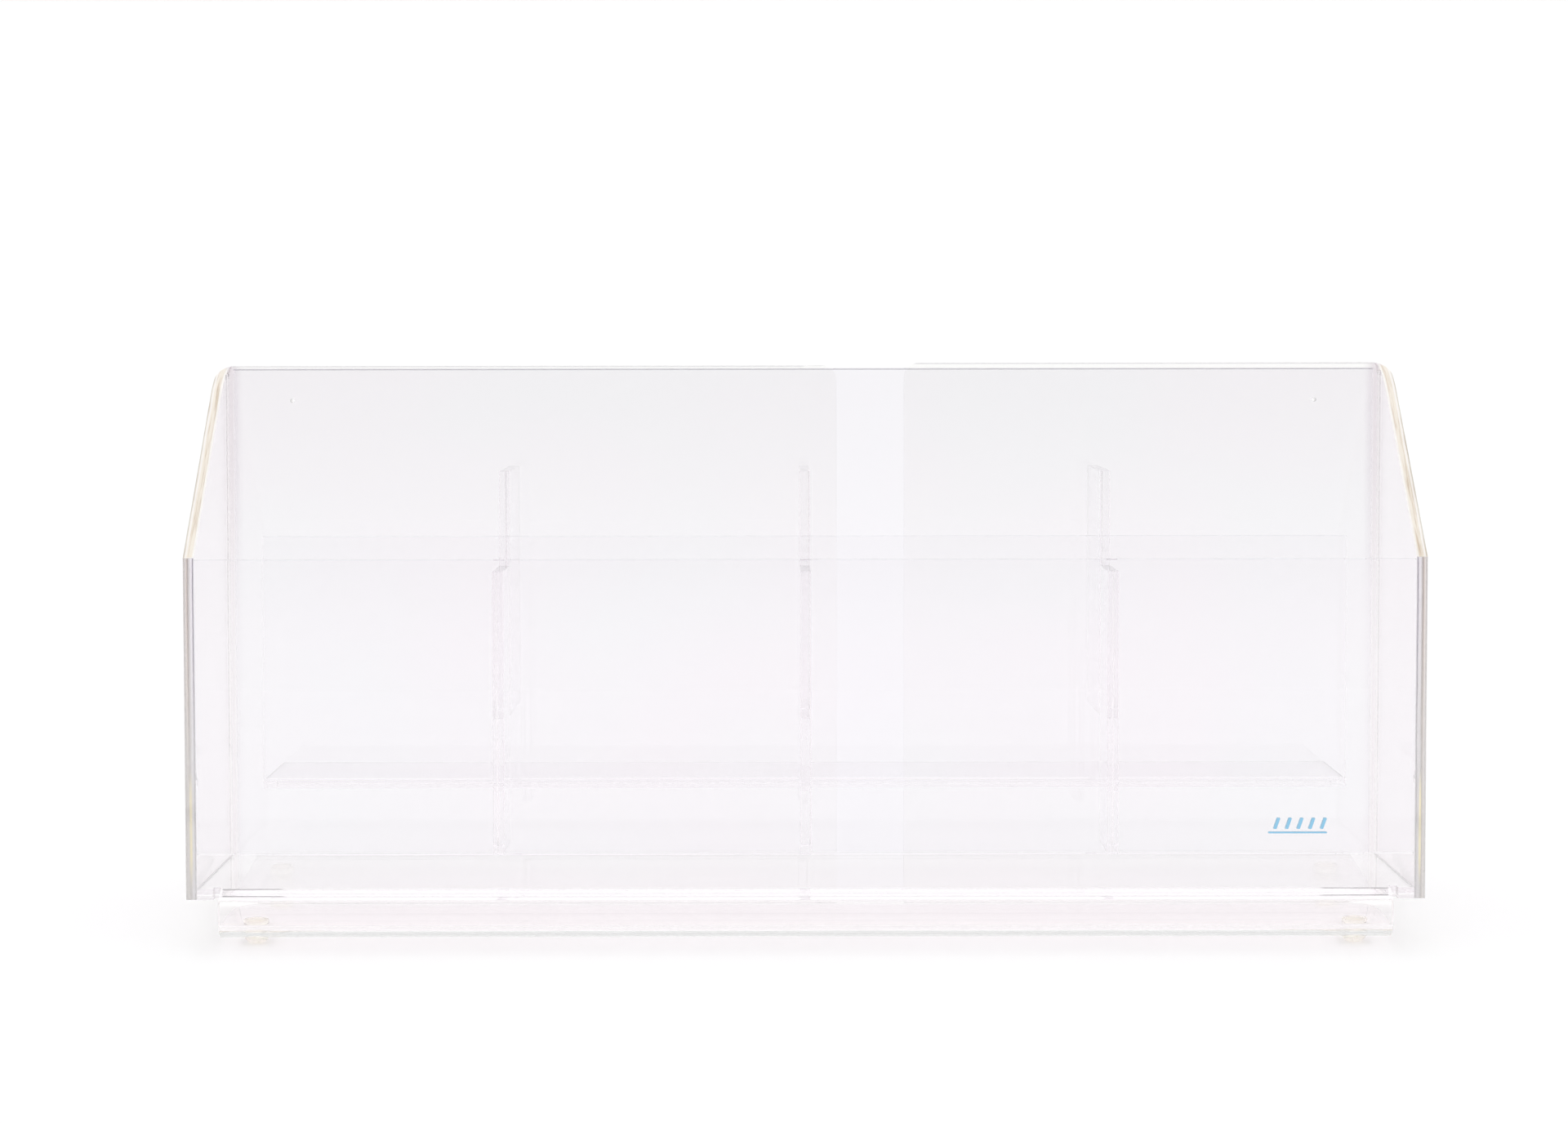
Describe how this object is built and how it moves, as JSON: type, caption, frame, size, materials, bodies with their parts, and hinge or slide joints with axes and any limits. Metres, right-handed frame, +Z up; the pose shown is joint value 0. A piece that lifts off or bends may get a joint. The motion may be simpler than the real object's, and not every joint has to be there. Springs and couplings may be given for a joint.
{
  "type": "magazine rack",
  "caption": "Clear acrylic counter-top magazine rack with two tiers of divided pockets, sloping side walls and a folded base on bumpers.",
  "frame": {"origin": "on the resting surface, under the middle of the whole rack", "axes": "+X to the viewer's right, +Y from the open front to the back, +Z up"},
  "size_m": [0.914, 0.2686, 0.4093],
  "materials": {
    "clear_acrylic": "clear cast sheet, polished faces, sawn and flame-polished edges",
    "bumper_rubber": "clear soft polyurethane"
  },
  "bodies": {
    "root": {"left_wing": "clear_acrylic", "right_wing": "clear_acrylic", "back_panel": "clear_acrylic", "front_panel": "clear_acrylic", "middle_panel": "clear_acrylic", "rear_shelf": "clear_acrylic", "folded_base": "clear_acrylic", "front_divider_left": "clear_acrylic", "rear_divider_left": "clear_acrylic", "front_divider_centre": "clear_acrylic", "rear_divider_centre": "clear_acrylic", "front_divider_right": "clear_acrylic", "rear_divider_right": "clear_acrylic", "foot_front_left": "bumper_rubber", "foot_rear_left": "bumper_rubber", "foot_front_right": "bumper_rubber", "foot_rear_right": "bumper_rubber"}
  },
  "joints": []
}
